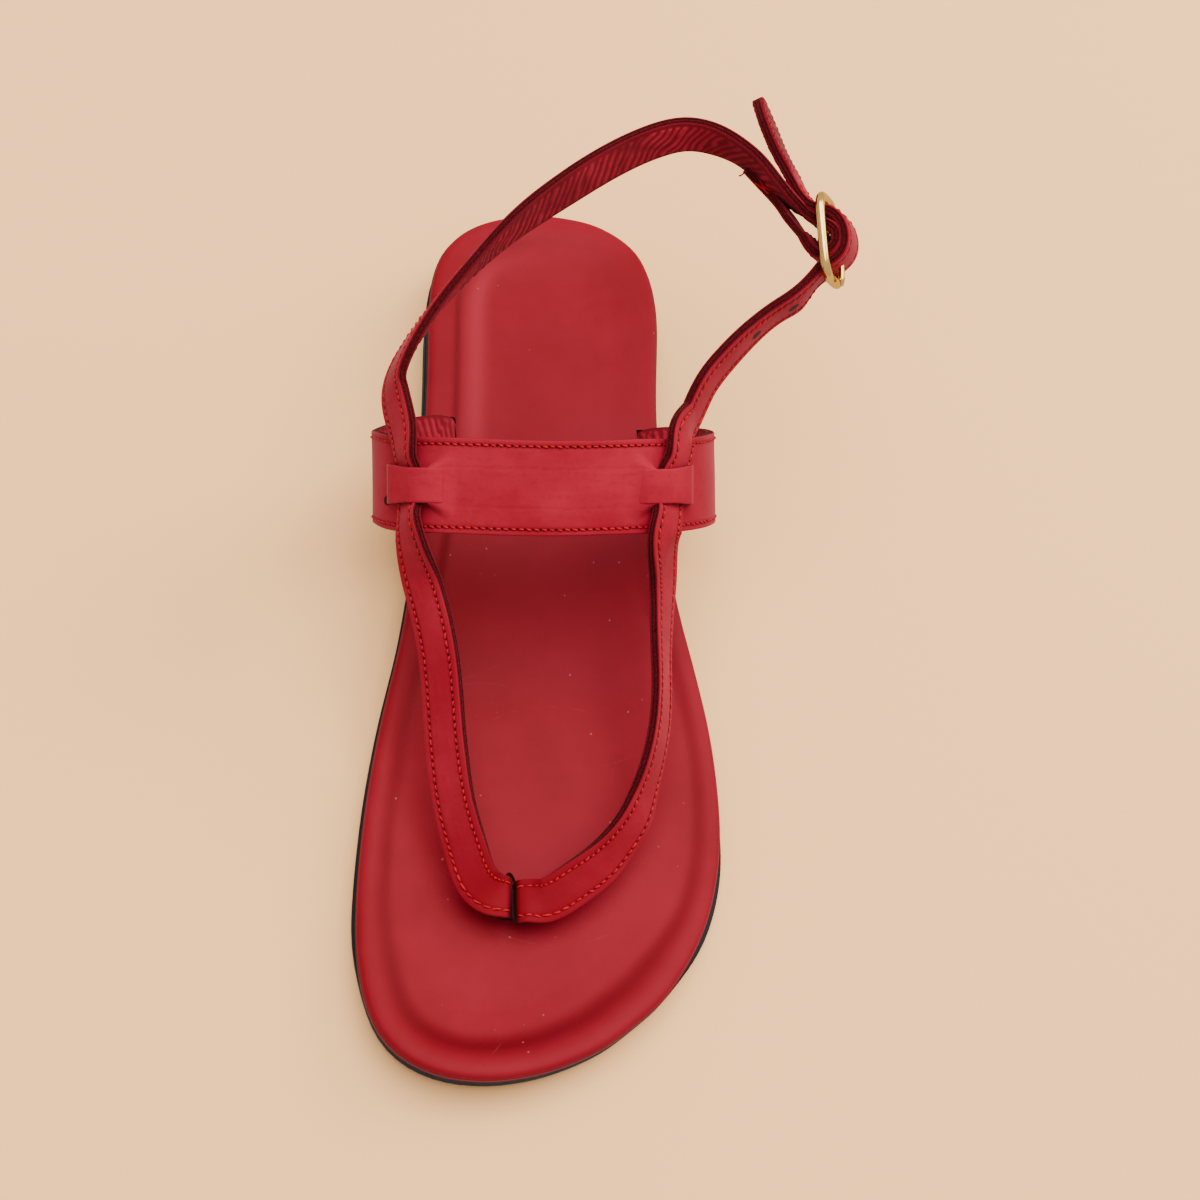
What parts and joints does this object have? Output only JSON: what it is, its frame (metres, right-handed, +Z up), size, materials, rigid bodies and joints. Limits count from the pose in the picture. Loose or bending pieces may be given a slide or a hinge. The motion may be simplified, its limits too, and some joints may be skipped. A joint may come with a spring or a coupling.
{
  "type": "slingback thong sandal",
  "caption": "Flat leather thong sandal for the left foot: moulded footbed, instep band, thong straps and a buckled ankle strap on a low stacked heel.",
  "frame": {"origin": "on the floor, at the middle of the heel's flat underside", "axes": "+Z up, -Y towards the toe, +X towards the outer side of the left foot"},
  "size_m": [0.1326, 0.2546, 0.0988],
  "materials": {
    "outsole": "matt black sheet rubber with a smooth trimmed edge",
    "heel_stack": "stacked leather board, edge stained near black",
    "heel_top_piece": "matt black rubber",
    "footbed": "smooth deep red leather drawn over a moulded bed",
    "upper": "deep red leather, lined, with bright red stitching and dark red raw edges",
    "buckle_frame": "polished pale gold",
    "buckle_prong": "polished pale gold"
  },
  "bodies": {
    "root": {"outsole": "outsole", "heel_stack": "heel_stack", "heel_top_piece": "heel_top_piece", "footbed": "footbed", "upper": "upper", "buckle_frame": "buckle_frame", "buckle_prong": "buckle_prong"}
  },
  "joints": []
}
